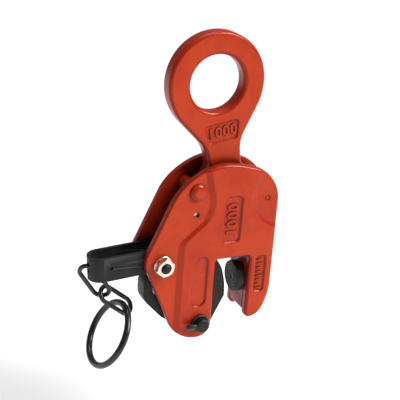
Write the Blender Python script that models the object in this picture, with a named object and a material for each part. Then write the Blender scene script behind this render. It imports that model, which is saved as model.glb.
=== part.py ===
"""Vertical plate lifting clamp with a lock lever, chain and pull ring.

All sizes below are in millimetres and are scaled to metres when a mesh is made.
+X points from the cam to the fixed jaw, +Y points to the back cheek, +Z points up.
The origin is the middle of the throat's top face, where the edge of the lifted plate seats.
Angles about Y are positive clockwise as seen from the front.
"""

import math

import bmesh
import bpy
from mathutils import Matrix, Vector

MM = 0.001
GAP = 0.3                     # clearance between touching pieces

# Cheeks
CHEEK_IN = 12.0               # inner face from the middle plane
CHEEK_OUT = 19.9              # outer face of the thick right zone
CHEEK_LOW = 18.2              # outer face of the thinner left zone
EDGE_ROUND = 2.6
THROAT_HALF = 17.1
THROAT_DEPTH = 63.2           # throat top to the right leg's tip
RIGHT_X = 41.0
POCKET_DEEP = 1.1
RIVET = 4.0                   # radius of the top spacer's shank
SMALL_PIN = 2.0               # radius of the corner spacer's ends and of the spring pins
CAM_PIN = 6.7
CROSS_PIN = 2.5
PAD_STEM = 6.0
PAD_SCREW = 2.5

# Pivots in the X-Z plane
CAM_PIVOT = (-29.1, -60.6)
LEVER_PIVOT = (-68.5, 1.4)
EYE_PIVOT = (-3.2, 49.4)
CAM_LINK_PIVOT = (-65.1, -23.6)
PAD_Z = -27.6
TOP_SPACER = (-39.5, 66.7)
CORNER_SPACER = (29.6, 54.9)
SPRING_ANCHOR = (-39.3, 45.4)
CAM_SPRING = (-39.3, -30.6)

# Lifting eye
EYE_TILT = 10.3
EYE_REACH = 111.8             # pin to the middle of the eye hole
EYE_OUTER = 44.9
EYE_HOLE = 25.0
EYE_HALF = 7.5
FOOT_LEFT = 26.2              # foot's half width on the side that rests on the top spacer
FOOT_RIGHT = 19.0
FOOT_DROP = 14.6              # foot's bottom below the eye pin

# Cam and links
CAM_HALF = 8.0
LINK_IN = CAM_HALF + GAP
LINK_OUT = 11.3
LINK_END = 9.0
LINK_WAIST = 7.0
LINK_PIN = 5.9

# Lever strap
LEVER_TILT = -4.4
LEVER_OUT = 11.6
STRAP = 3.0
LEVER_LEFT = -62.7            # bend's outermost point from the bolt
LEVER_TOP = 13.0
LEVER_BOTTOM = -8.8
BOLT = 4.0
LEVER_EYE = 5.2               # radius of the chain's hole in the bend
LEVER_EYE_RISE = 3.0

# Chain and ring
LINK_WIRE = 2.1
CHAIN_HALF_WIDTH = 7.4        # wire centre line from the link's axis
CHAIN_HALF_LENGTH = 18.4
CHAIN_ONE = (-123.5, 2.6, -15.8)
CHAIN_ONE_LEAN = 56.0         # below the horizontal, to the right
CHAIN_ONE_TURN = 34.0         # about the link's own axis
CHAIN_ONE_HINGE = (-130.5, 0, -5.5)      # where it hangs in the lever's eye
CHAIN_TWO = (-102.8, 2.2, -37.5)
CHAIN_TWO_LEAN = 38.1
CHAIN_TWO_TURN = -42.0
CHAIN_TWO_HINGE = (-115.0, 0, -28.0)     # where it hangs in the first link
RING_WIRE = 3.0
RING_RADIUS = 29.3
RING_TOP = (-96.3, -2.0, -42.0)
RING_LEAN = 28.0              # from the vertical, to the left

COLOURS = {
    "enamel": ((0.62, 0.07, 0.015), 0.32, 0.0),
    "black": ((0.02, 0.02, 0.022), 0.42, 0.3),
    "zinc": ((0.72, 0.66, 0.50), 0.3, 1.0),
    "steel": ((0.45, 0.45, 0.46), 0.35, 1.0),
}

CASTINGS = {"front_cheek", "back_cheek", "lifting_eye"}     # many soft-edged cuts, which EXACT leaves open


def clear_scene():
    for thing in list(bpy.data.objects):
        bpy.data.objects.remove(thing)


def material(name):
    made = bpy.data.materials.get(name)
    if made:
        return made
    colour, roughness, metallic = COLOURS[name]
    made = bpy.data.materials.new(name)
    made.use_nodes = True
    shader = made.node_tree.nodes["Principled BSDF"]
    shader.inputs["Base Color"].default_value = (*colour, 1.0)
    shader.inputs["Roughness"].default_value = roughness
    shader.inputs["Metallic"].default_value = metallic
    return made


# Outlines ----------------------------------------------------------------------------------------


def rounded(corners, step=14.0):
    """The polygon (x, z, corner radius) with its corners as arcs."""
    points = []
    for i, (x, z, radius) in enumerate(corners):
        here = Vector((x, z))
        before = (Vector(corners[i - 1][:2]) - here).normalized()
        after = (Vector(corners[(i + 1) % len(corners)][:2]) - here).normalized()
        inside = before.angle(after)
        if radius <= 0 or inside > math.pi - 1e-3:
            points.append((x, z))
            continue
        centre = here + (before + after).normalized() * (radius / math.sin(inside / 2))
        reach = radius / math.tan(inside / 2)
        start = here + before * reach - centre
        turn = start.angle_signed(here + after * reach - centre)
        count = max(2, math.ceil(abs(math.degrees(turn)) / step))
        for k in range(count + 1):
            spoke = start.copy()
            spoke.rotate(Matrix.Rotation(-turn * k / count, 2))
            points.append(tuple(centre + spoke))
    return [p for i, p in enumerate(points) if math.dist(p, points[i - 1]) > 1e-3]


def circle(x, z, radius, sides=32):
    angles = [2 * math.pi * k / sides for k in range(sides)]
    return [(x + radius * math.cos(a), z + radius * math.sin(a)) for a in angles]


def box_outline(x0, x1, z0, z1, radius=0.0):
    return rounded([(x0, z0, radius), (x1, z0, radius), (x1, z1, radius), (x0, z1, radius)])


# Solids ------------------------------------------------------------------------------------------


def place(name, bm, finish, origin=(0, 0, 0), turn=(0, 0, 0)):
    """An object from a bmesh in millimetres, whose coordinates are measured from its origin."""
    bmesh.ops.recalc_face_normals(bm, faces=bm.faces)
    bmesh.ops.scale(bm, vec=(MM, MM, MM), verts=bm.verts)
    mesh = bpy.data.meshes.new(name)
    bm.to_mesh(mesh)
    bm.free()
    mesh.shade_smooth()
    mesh.set_sharp_from_angle(angle=math.radians(35))
    made = bpy.data.objects.new(name, mesh)
    made.location = Vector(origin) * MM
    made.rotation_euler = [math.radians(a) for a in turn]
    made.data.materials.append(material(finish))
    bpy.context.scene.collection.objects.link(made)
    return made


def loft(bm, rings):
    """A closed solid through rings of equal length, each a list of points."""
    rings = [[bm.verts.new(point) for point in ring] for ring in rings]
    bm.faces.new(rings[0])
    bm.faces.new(rings[-1][::-1])
    for low, high in zip(rings, rings[1:]):
        for i, vert in enumerate(low):
            bm.faces.new((vert, high[i], high[i - 1], low[i - 1]))


def add_prism(bm, outline, y0, y1, far=None):
    """A closed prism along Y; far is the outline at y1 where it differs."""
    loft(bm, [[(x, y0, z) for x, z in outline], [(x, y1, z) for x, z in (far or outline)]])


def shrunk(outline, inset):
    """The outline moved inwards, or outwards where inset is negative."""
    area = sum(a[0] * b[1] - b[0] * a[1] for a, b in zip(outline[-1:] + outline, outline))
    side = math.copysign(inset, area)
    points = []
    for i, (x, z) in enumerate(outline):
        before = (Vector((x, z)) - Vector(outline[i - 1])).normalized()
        after = (Vector(outline[(i + 1) % len(outline)]) - Vector((x, z))).normalized()
        normal = Vector((-before.y - after.y, before.x + after.x)).normalized()
        miter = normal.dot(Vector((-before.y, before.x)))
        points.append((x + side * normal.x / miter, z + side * normal.y / miter))
    return points


def slab(name, outline, y0, y1, finish, origin=(0, 0, 0), turn=(0, 0, 0), rounds=(), radius=0.0, cuts=1):
    """A plate along Y, with the edges of the faces at the Y values in rounds rounded off."""
    sections = []
    for y, other in ((y0, y1), (y1, y0)):
        angles = [math.pi / 2 * k / cuts for k in range(cuts + 1)] if y in rounds else [math.pi / 2]
        start = y if y in rounds else y - math.copysign(radius, other - y)
        end = [(radius * (1 - math.sin(a)), start + math.copysign(radius * (1 - math.cos(a)), other - y))
               for a in angles]
        sections += end if y == y0 else end[::-1]
    bm = bmesh.new()
    loft(bm, [[(x, y, z) for x, z in shrunk(outline, inset)] for inset, y in sections])
    return place(name, bm, finish, origin, turn)


def turned(name, profile, finish, origin, axis="Y", sides=32):
    """A turned piece: profile is (radius, distance along the axis) from one end to the other."""
    bm = bmesh.new()
    loft(bm, [[(along, px, pz) if axis == "X" else (px, along, pz) for px, pz in circle(0, 0, radius, sides)]
              for radius, along in profile])
    return place(name, bm, finish, origin)


def wire(name, points, radius, finish, origin, closed, detail):
    """A round wire along points, which are measured from origin."""
    curve = bpy.data.curves.new(name, "CURVE")
    curve.dimensions = "3D"
    curve.bevel_depth = radius * MM
    curve.bevel_resolution = detail
    curve.use_fill_caps = not closed
    spline = curve.splines.new("POLY")
    spline.points.add(len(points) - 1)
    for target, point in zip(spline.points, points):
        target.co = (*(Vector(point) * MM), 1.0)
    spline.use_cyclic_u = closed
    spline.use_smooth = True
    made = bpy.data.objects.new(name, curve)
    made.location = Vector(origin) * MM
    curve.materials.append(material(finish))
    bpy.context.scene.collection.objects.link(made)
    return made


def combine(body, tool, operation="DIFFERENCE"):
    """Cuts, adds or intersects body with a helper, which stays in the file as a wire shape."""
    step = body.modifiers.new(tool.name, "BOOLEAN")
    step.object = tool
    step.operation = operation
    step.solver = "MANIFOLD" if body.name in CASTINGS else "EXACT"
    tool.hide_render = True
    tool.display_type = "WIRE"


def drill(body, x, z, radius, y0=-40, y1=40, sides=32, origin=(0, 0, 0), turn=(0, 0, 0)):
    name = f"{body.name}.drill.{len(body.modifiers)}"
    combine(body, slab(name, circle(x, z, radius, sides), y0, y1, "steel", origin, turn))


# Cheeks ------------------------------------------------------------------------------------------


def cheek_outline():
    return rounded([
        (-86.6, 4.6, 18),
        (-48.3, 89.6, 54),
        (-5.0, 90.2, 60),
        (40.9, 78.2, 34),
        (RIGHT_X, -43.0, 50),
        (30.5, -THROAT_DEPTH, 13.4),
        (THROAT_HALF, -THROAT_DEPTH, 5),
        (THROAT_HALF, 0, 3),
        (-THROAT_HALF, 0, 3),
        (-THROAT_HALF, -76.2, 13),
        (-50.7, -76.2, 28),
    ])


def low_zone(inset):
    """The left zone outside the raised wall, moved to the left by inset."""
    wall = rounded([
        (-29.6 - inset, 110, 0),
        (-29.6 - inset, 82, 20),
        (-22.5 - inset, 56, 26),
        (-28.0 - inset, 39, 14),
        (-51.0 - inset, 20, 12),
        (-51.2 - inset, -110, 0),
    ])
    return wall + [(-130, -110), (-130, 110)]


def cheek(name, side):
    """side is -1 for the front cheek and +1 for the back one."""
    inner, outer, low = side * CHEEK_IN, side * CHEEK_OUT, side * CHEEK_LOW
    beyond = side * (CHEEK_OUT + 5)
    body = slab(name, cheek_outline(), inner, outer, "enamel", rounds=(outer,), radius=EDGE_ROUND, cuts=3)
    step = bmesh.new()
    slope = (beyond - low) * side * 1.4
    add_prism(step, low_zone(2.4), low, beyond, low_zone(2.4 - slope))
    combine(body, place(f"{name}.low", step, "steel"))
    floor = outer - side * POCKET_DEEP
    pockets = {
        "label": box_outline(-12.6, 4.4, 15.9, 59.9, 4),
        "range": box_outline(23.2, 33.4, -36.8, -0.8, 3),
        "groove": box_outline(-39.2, -25.0, -44.0, 5.2, 7),
        "corner": circle(46.8, 58.4, 32, 64),
    }
    for part, outline in pockets.items():
        combine(body, slab(f"{name}.{part}", outline, floor, beyond, "steel"))
    drill(body, *CAM_PIVOT, CAM_PIN + GAP)
    drill(body, *LEVER_PIVOT, BOLT + GAP)
    drill(body, *TOP_SPACER, RIVET + GAP)
    drill(body, *CORNER_SPACER, SMALL_PIN + GAP, sides=16)
    drill(body, *SPRING_ANCHOR, SMALL_PIN + GAP, sides=16)
    return body


def spacers():
    inside, outside = CHEEK_IN - GAP, CHEEK_LOW + GAP
    dome = [(7.6, outside), (7.2, outside + 1.4), (5.6, outside + 2.6), (3.0, outside + 3.3)]
    shank = [(RIVET, outside), (RIVET, inside), (6.0, inside)]
    half = shank[::-1] + dome
    profile = [(r, -y) for r, y in half[::-1]] + half
    turned("top_spacer_rivet", profile, "enamel", (TOP_SPACER[0], 0, TOP_SPACER[1]), sides=24)
    tip = CHEEK_OUT - POCKET_DEEP - 0.5
    half = [(5.0, inside), (SMALL_PIN, inside), (SMALL_PIN, tip)]
    profile = [(r, -y) for r, y in half[::-1]] + half
    turned("corner_spacer", profile, "enamel", (CORNER_SPACER[0], 0, CORNER_SPACER[1]), sides=16)
    turned("spring_anchor_pin", [(SMALL_PIN, -15.5), (SMALL_PIN, 15.5)], "steel",
           (SPRING_ANCHOR[0], 0, SPRING_ANCHOR[1]), sides=16)


# Fixed jaw and swivel pad ------------------------------------------------------------------------


def fixed_jaw():
    """The block between the right legs, with the plate stop that runs across the throat's top."""
    outline = rounded([
        (-7.7, 0, 0),
        (THROAT_HALF, 0, 0),
        (THROAT_HALF, -57.0, 1.5),
        (24.0, -57.0, 8),
        (33.0, -44.0, 6),
        (33.0, 5.0, 2),
        (-7.7, 5.0, 2),
    ])
    block = slab("jaw_block", outline, GAP - CHEEK_IN, CHEEK_IN - GAP, "enamel")
    origin = (0, 0, PAD_Z)
    bore = PAD_STEM + GAP
    combine(block, turned("jaw_block.bore", [(bore, 5), (bore, 45)], "steel", origin, "X", 24))
    head, back, tail = THROAT_HALF - 7.3, THROAT_HALF - GAP, 33.6
    profile = [(13.6, head), (14.5, head + 0.9), (14.5, back), (PAD_STEM, back), (PAD_STEM, tail)]
    pad = turned("swivel_pad", profile, "black", origin, "X", 36)
    bore = PAD_SCREW + GAP
    combine(pad, turned("swivel_pad.bore", [(bore, 22), (bore, 40)], "steel", origin, "X", 16))
    washer = turned("pad_washer", [(9, 33.9), (9, 35.4)], "zinc", origin, "X", 24)
    combine(washer, turned("pad_washer.bore", [(bore, 30), (bore, 40)], "steel", origin, "X", 16))
    profile = [(PAD_SCREW, 23), (PAD_SCREW, 35.7), (4.2, 35.7), (4.2, 38.2), (3.4, 39.6)]
    turned("pad_screw", profile, "steel", origin, "X", 16)


# Lifting eye and links ---------------------------------------------------------------------------


def eye_outline():
    """Ring, neck, shank and foot in the eye's own axes, measured from the eye pin."""
    ring = []
    for k in range(33):
        angle = math.radians(-38 + 256 * k / 32)
        ring.append((EYE_OUTER * math.cos(angle), EYE_REACH + EYE_OUTER * math.sin(angle)))
    start = EYE_REACH - EYE_OUTER * math.sin(math.radians(38))
    edge = EYE_OUTER * math.cos(math.radians(38))
    stem = rounded([
        (-edge, start, 0),
        (-16.6, 56, 26),
        (-15.8, 38, 10),
        (-FOOT_LEFT, 25.0, 4),
        (-FOOT_LEFT, -3.0, 8),
        (-11.0, -FOOT_DROP, 8),
        (11.0, -FOOT_DROP, 8),
        (FOOT_RIGHT, -5.0, 8),
        (FOOT_RIGHT, 25.0, 4),
        (15.8, 38, 10),
        (16.6, 56, 26),
        (edge, start, 0),
    ])
    return ring + stem[1:-1]


def lifting_eye():
    origin, turn = (EYE_PIVOT[0], 0, EYE_PIVOT[1]), (0, -EYE_TILT, 0)
    eye = slab("lifting_eye", eye_outline(), -EYE_HALF, EYE_HALF, "enamel", origin, turn,
               rounds=(-EYE_HALF, EYE_HALF), radius=3.0, cuts=2)
    drill(eye, 0, EYE_REACH, EYE_HOLE, sides=64, origin=origin, turn=turn)
    drill(eye, 0, 0, LINK_PIN + GAP, sides=32, origin=origin, turn=turn)
    pocket = box_outline(-16.0, 16.0, EYE_REACH - 53, EYE_REACH - 35.2, 3)
    combine(eye, slab("lifting_eye.label", pocket, -EYE_HALF - 3, 1.0 - EYE_HALF, "steel", origin, turn))


def link_plate(name, y0, y1):
    dx, dz = (CAM_LINK_PIVOT[0] - EYE_PIVOT[0]), (CAM_LINK_PIVOT[1] - EYE_PIVOT[1])
    origin = (CAM_LINK_PIVOT[0], 0, CAM_LINK_PIVOT[1])
    length = math.hypot(dx, dz)
    lean = math.degrees(math.atan2(-dx, -dz))
    outline = rounded([
        (LINK_END, length + LINK_END, LINK_END),
        (LINK_END, length - 8, 12),
        (LINK_WAIST, length - 18, 12),
        (LINK_WAIST, 18, 12),
        (LINK_END, 8, 12),
        (LINK_END, -LINK_END, LINK_END),
        (-LINK_END, -LINK_END, LINK_END),
        (-LINK_END, 8, 12),
        (-LINK_WAIST, 18, 12),
        (-LINK_WAIST, length - 18, 12),
        (-LINK_END, length - 8, 12),
        (-LINK_END, length + LINK_END, LINK_END),
    ], 20.0)
    plate = slab(name, outline, y0, y1, "steel", origin, (0, lean, 0))
    for along in (0, length):
        drill(plate, 0, along, LINK_PIN + GAP, sides=24, origin=origin, turn=(0, lean, 0))


def links():
    link_plate("link_plate_front", -LINK_OUT, -LINK_IN)
    link_plate("link_plate_back", LINK_IN, LINK_OUT)
    reach = CHEEK_IN - GAP - 0.2
    half = [(LINK_PIN, reach - 0.5), (LINK_PIN - 0.5, reach)]
    profile = [(r, -y) for r, y in half[::-1]] + half
    turned("eye_link_pin", profile, "steel", (EYE_PIVOT[0], 0, EYE_PIVOT[1]), sides=24)
    turned("cam_link_pin", profile, "steel", (CAM_LINK_PIVOT[0], 0, CAM_LINK_PIVOT[1]), sides=24)


# Cam ---------------------------------------------------------------------------------------------


def cam():
    """The toothed cam, drawn from its pin: jaw face on the right, link arm on the upper left."""
    origin = (CAM_PIVOT[0], 0, CAM_PIVOT[1])
    outline = rounded([
        (29.2, 17.6, 2),
        (29.6, 28.0, 60),
        (23.5, 50.5, 30),
        (15.5, 58.4, 5),
        (5.0, 58.4, 6),
        (-3.0, 46.0, 16),
        (-22.0, 46.5, 12),
        (-33.0, 51.5, 10),
        (-51.6, 46.0, 11),
        (-51.2, 24.0, 14),
        (-30.5, 2.2, 8),
        (-16.5, 2.0, 8),
        (-13.8, -13.8, 13.5),
        (13.8, -13.8, 13.5),
    ])
    faces = (-CAM_HALF, CAM_HALF)
    body = slab("cam", outline, *faces, "black", origin, rounds=faces, radius=0.7)
    drill(body, 0, 0, CAM_PIN + GAP, sides=32, origin=origin)
    arm = (CAM_LINK_PIVOT[0] - CAM_PIVOT[0], CAM_LINK_PIVOT[1] - CAM_PIVOT[1])
    drill(body, *arm, LINK_PIN + GAP, sides=24, origin=origin)
    post = (CAM_SPRING[0] - CAM_PIVOT[0], CAM_SPRING[1] - CAM_PIVOT[1])
    drill(body, *post, SMALL_PIN + GAP, sides=16, origin=origin)
    slot = box_outline(post[0] - 8, post[0] + 8, post[1] - 7, post[1] + 40, 4)
    combine(body, slab("cam.slot", slot, -2.5, 2.5, "steel", origin))
    turned("cam_spring_pin", [(SMALL_PIN, -7.6), (SMALL_PIN, 7.6)], "steel",
           (CAM_SPRING[0], 0, CAM_SPRING[1]), sides=16)


def cam_pin():
    origin = (CAM_PIVOT[0], 0, CAM_PIVOT[1])
    head = CHEEK_OUT + GAP
    tip = CAM_PIN - 0.8
    profile = [(tip, -28.6), (CAM_PIN, -27.8), (CAM_PIN, head), (9.5, head), (9.5, head + 3.4),
               (8.7, head + 4.2)]
    pin = turned("cam_pin", profile, "black", origin)
    middle = (CAM_PIVOT[0], -25.2, CAM_PIVOT[1])
    bore = CROSS_PIN + GAP
    combine(pin, turned("cam_pin.hole", [(bore, -25), (bore, 3)], "steel", middle, "X", 16))
    end = CROSS_PIN - 0.6
    profile = [(end, -14.7), (CROSS_PIN, -14.1), (CROSS_PIN, 1.9), (end, 2.5)]
    turned("cam_cross_pin", profile, "black", middle, "X", 16)
    washer = turned("cam_pin_washer", [(8.3, -22.2), (8.3, -CHEEK_OUT - GAP)], "black", origin)
    drill(washer, 0, 0, CAM_PIN + GAP, origin=origin)


# Lever, bolt and spring --------------------------------------------------------------------------


def lever():
    """A flat bar bent to a U, with its open end on the bolt and its bend at the left."""
    origin, turn = (LEVER_PIVOT[0], 0, LEVER_PIVOT[1]), (0, LEVER_TILT, 0)
    side_view = rounded([
        (LEVER_LEFT - 1, LEVER_TOP, 0),
        (8.8, LEVER_TOP, 10),
        (8.8, -9.8, 9),
        (-9.0, -9.8, 5),
        (-14.0, LEVER_BOTTOM, 5),
        (LEVER_LEFT - 1, LEVER_BOTTOM, 0),
    ])
    strap = slab("lock_lever", side_view, -LEVER_OUT - 1, LEVER_OUT + 1, "black", origin, turn)
    bend = LEVER_LEFT + LEVER_OUT
    bm = bmesh.new()
    plan = [(20, -LEVER_OUT)]
    arc = [math.radians(270 - 180 * k / 16) for k in range(17)]
    plan += [(bend + LEVER_OUT * math.cos(a), LEVER_OUT * math.sin(a)) for a in arc]
    plan += [(20, LEVER_OUT), (20, LEVER_OUT - STRAP)]
    inner = LEVER_OUT - STRAP
    plan += [(bend + inner * math.cos(a), inner * math.sin(a)) for a in arc[::-1]]
    plan += [(20, -inner)]
    loft(bm, [[(x, y, -20) for x, y in plan], [(x, y, 20) for x, y in plan]])
    combine(strap, place("lock_lever.plan", bm, "steel", origin, turn), "INTERSECT")
    drill(strap, 0, 0, BOLT + GAP, sides=24, origin=origin, turn=turn)
    drill(strap, -45.4, 3.6, 2.1, -40, 0, 16, origin, turn)
    profile = [(LEVER_EYE, LEVER_LEFT - 5), (LEVER_EYE, bend)]
    hole = turned("lock_lever.eye", profile, "steel", origin, "X", 24)
    hole.rotation_euler = [math.radians(a) for a in turn]
    hole.location.z += LEVER_EYE_RISE * MM
    combine(strap, hole)


def hexagon(name, across, y0, y1, finish):
    radius = across / math.sqrt(3)
    points = [(radius * math.cos(math.radians(60 * k + 20)), radius * math.sin(math.radians(60 * k + 20)))
              for k in range(6)]
    return slab(name, points, y0, y1, finish, (LEVER_PIVOT[0], 0, LEVER_PIVOT[1]))


def lever_bolt():
    origin = (LEVER_PIVOT[0], 0, LEVER_PIVOT[1])
    face = CHEEK_LOW + GAP
    profile = [(3.4, -28.4), (BOLT, -27.8), (BOLT, face), (7.4, face), (7.4, face + 4.6), (6.6, face + 5.2)]
    turned("lever_bolt", profile, "black", origin, sides=24)
    washer = turned("lever_washer", [(8.6, -face - 1.4), (8.6, -face)], "zinc", origin, sides=24)
    drill(washer, 0, 0, BOLT + GAP, sides=24, origin=origin)
    nut = hexagon("lever_nut", 15.4, -face - 7.9, -face - 1.7, "zinc")
    drill(nut, 0, 0, BOLT + GAP, sides=24, origin=origin)
    reach = LEVER_OUT - STRAP - GAP
    sleeve = turned("lever_sleeve", [(6.0, -reach), (6.0, reach)], "zinc", origin, sides=24)
    drill(sleeve, 0, 0, BOLT + GAP, sides=24, origin=origin)


def lock_spring():
    """A tension spring from the anchor pin down to the cam's pin, with an open hook at each end."""
    top, bottom = SPRING_ANCHOR[1], CAM_SPRING[1]
    coil, hook, turns, steps = 3.6, 3.2, 12, 12
    high, low = top - 9.0, bottom + 20.0
    points = []
    for k in range(9):
        angle = math.radians(-60 + 240 * k / 8)
        points.append((hook * math.cos(angle), 0, hook * math.sin(angle)))
    points.append((-hook, 0, high - top + 2.2))
    for k in range(turns * steps + 1):
        angle = math.pi + 2 * math.pi * k / steps
        fall = (high - low) * k / (turns * steps)
        points.append((coil * math.cos(angle), coil * math.sin(angle), high - top - fall))
    points.append((-hook, 0, low - top - 2.2))
    for k in range(9):
        angle = math.radians(180 + 240 * k / 8)
        points.append((hook * math.cos(angle), 0, bottom - top + hook * math.sin(angle)))
    wire("lock_spring", points, 0.8, "steel", (SPRING_ANCHOR[0], 0, top), False, 1)


# Chain and ring ----------------------------------------------------------------------------------


def oval_link(name, centre, lean, turn, hinge):
    """A long round-ended link whose axis leans below the horizontal and is turned about itself."""
    axis = Vector((math.cos(math.radians(lean)), 0, -math.sin(math.radians(lean))))
    across = Vector((0, 1, 0)).cross(axis)
    across.rotate(Matrix.Rotation(math.radians(turn), 3, axis))
    straight = CHAIN_HALF_LENGTH - CHAIN_HALF_WIDTH
    middle = Vector(centre)
    points = []
    for end, first in ((1, -90), (-1, 90)):
        for k in range(13):
            angle = math.radians(first + 15 * k)
            along = axis * (end * straight + CHAIN_HALF_WIDTH * math.cos(angle))
            points.append(middle + along + across * CHAIN_HALF_WIDTH * math.sin(angle) - Vector(hinge))
    wire(name, points, LINK_WIRE, "black", hinge, True, 3)


def chain_and_ring():
    oval_link("chain_link_1", CHAIN_ONE, CHAIN_ONE_LEAN, CHAIN_ONE_TURN, CHAIN_ONE_HINGE)
    oval_link("chain_link_2", CHAIN_TWO, CHAIN_TWO_LEAN, CHAIN_TWO_TURN, CHAIN_TWO_HINGE)
    lean = math.radians(RING_LEAN)
    down = Vector((-math.sin(lean), 0, -math.cos(lean)))
    points = []
    for k in range(48):
        angle = 2 * math.pi * k / 48
        side = Vector((0, RING_RADIUS * math.sin(angle), 0))
        points.append(down * RING_RADIUS * (1 - math.cos(angle)) + side)
    wire("pull_ring", points, RING_WIRE, "black", RING_TOP, True, 3)


def main():
    clear_scene()
    cheek("front_cheek", -1)
    cheek("back_cheek", 1)
    spacers()
    fixed_jaw()
    lifting_eye()
    links()
    cam()
    cam_pin()
    lever()
    lever_bolt()
    lock_spring()
    chain_and_ring()


main()
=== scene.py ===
import math

import bmesh
import bpy
from mathutils import Euler, Matrix, Vector


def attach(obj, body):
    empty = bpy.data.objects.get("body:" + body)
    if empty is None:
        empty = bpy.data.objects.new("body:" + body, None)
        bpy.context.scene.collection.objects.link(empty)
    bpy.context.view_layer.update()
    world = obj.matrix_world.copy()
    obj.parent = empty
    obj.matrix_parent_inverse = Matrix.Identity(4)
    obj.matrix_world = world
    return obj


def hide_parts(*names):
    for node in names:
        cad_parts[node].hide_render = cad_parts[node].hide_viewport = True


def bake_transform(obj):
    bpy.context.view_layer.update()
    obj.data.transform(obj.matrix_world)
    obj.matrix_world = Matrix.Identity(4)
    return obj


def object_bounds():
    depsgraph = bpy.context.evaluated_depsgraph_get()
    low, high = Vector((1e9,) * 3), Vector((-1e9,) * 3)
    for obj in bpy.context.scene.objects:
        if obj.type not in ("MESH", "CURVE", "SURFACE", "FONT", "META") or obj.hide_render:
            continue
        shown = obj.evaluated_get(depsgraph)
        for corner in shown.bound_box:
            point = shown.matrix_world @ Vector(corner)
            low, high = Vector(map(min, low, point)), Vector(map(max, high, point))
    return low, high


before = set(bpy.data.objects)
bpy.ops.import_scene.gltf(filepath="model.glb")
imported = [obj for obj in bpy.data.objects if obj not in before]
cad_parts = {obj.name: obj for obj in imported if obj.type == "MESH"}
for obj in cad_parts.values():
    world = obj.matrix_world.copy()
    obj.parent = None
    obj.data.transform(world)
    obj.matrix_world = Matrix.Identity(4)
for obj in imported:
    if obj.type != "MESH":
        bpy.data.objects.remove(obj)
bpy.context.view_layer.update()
mm = 0.001     # every size below is in millimetres

view = {
    "place": (-420.9, -786.0, 399.7),
    "turn": (68.326, -4.19, -24.876),     # degrees
    "lens": 96.2,
}


def addObject(name, data):
    made = bpy.data.objects.new(name, data)
    bpy.context.scene.collection.objects.link(made)
    return made


def makeCamera():
    data = bpy.data.cameras.new("studioCamera")
    data.lens = view["lens"]
    data.sensor_width = 36
    data.clip_start = 0.05
    data.clip_end = 20
    camera = addObject("studioCamera", data)
    camera.location = Vector(view["place"]) * mm
    camera.rotation_euler = [math.radians(a) for a in view["turn"]]
    bpy.context.scene.camera = camera


makeCamera()
print("camera placed")


def newMaterial(name):
    material = bpy.data.materials.new(name)
    material.use_nodes = True
    material.node_tree.nodes.clear()
    return material, material.node_tree.nodes, material.node_tree.links


def layOut(rows):
    for row, (box, members) in enumerate(rows):
        for column, node in enumerate(members):
            node.parent = box
            node.location = (column * 220 - 1200, 600 - row * 380)


# the slope colour is painted shade for faces turned away from the front and back; the face and deep
# colours are the paint's own random tone
enamelLooks = {
    "face": (0.475, 0.035, 0.004), "deep": (0.390, 0.021, 0.003), "slope": (0.330, 0.014, 0.003),
    # the next colour is painted shade for corners and for the faces between parts
    "cornerShade": (0.075, 0.005, 0.003), "roughness": (0.26, 0.38), "coat": 0.12, "skin": 0.30,
}


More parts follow.
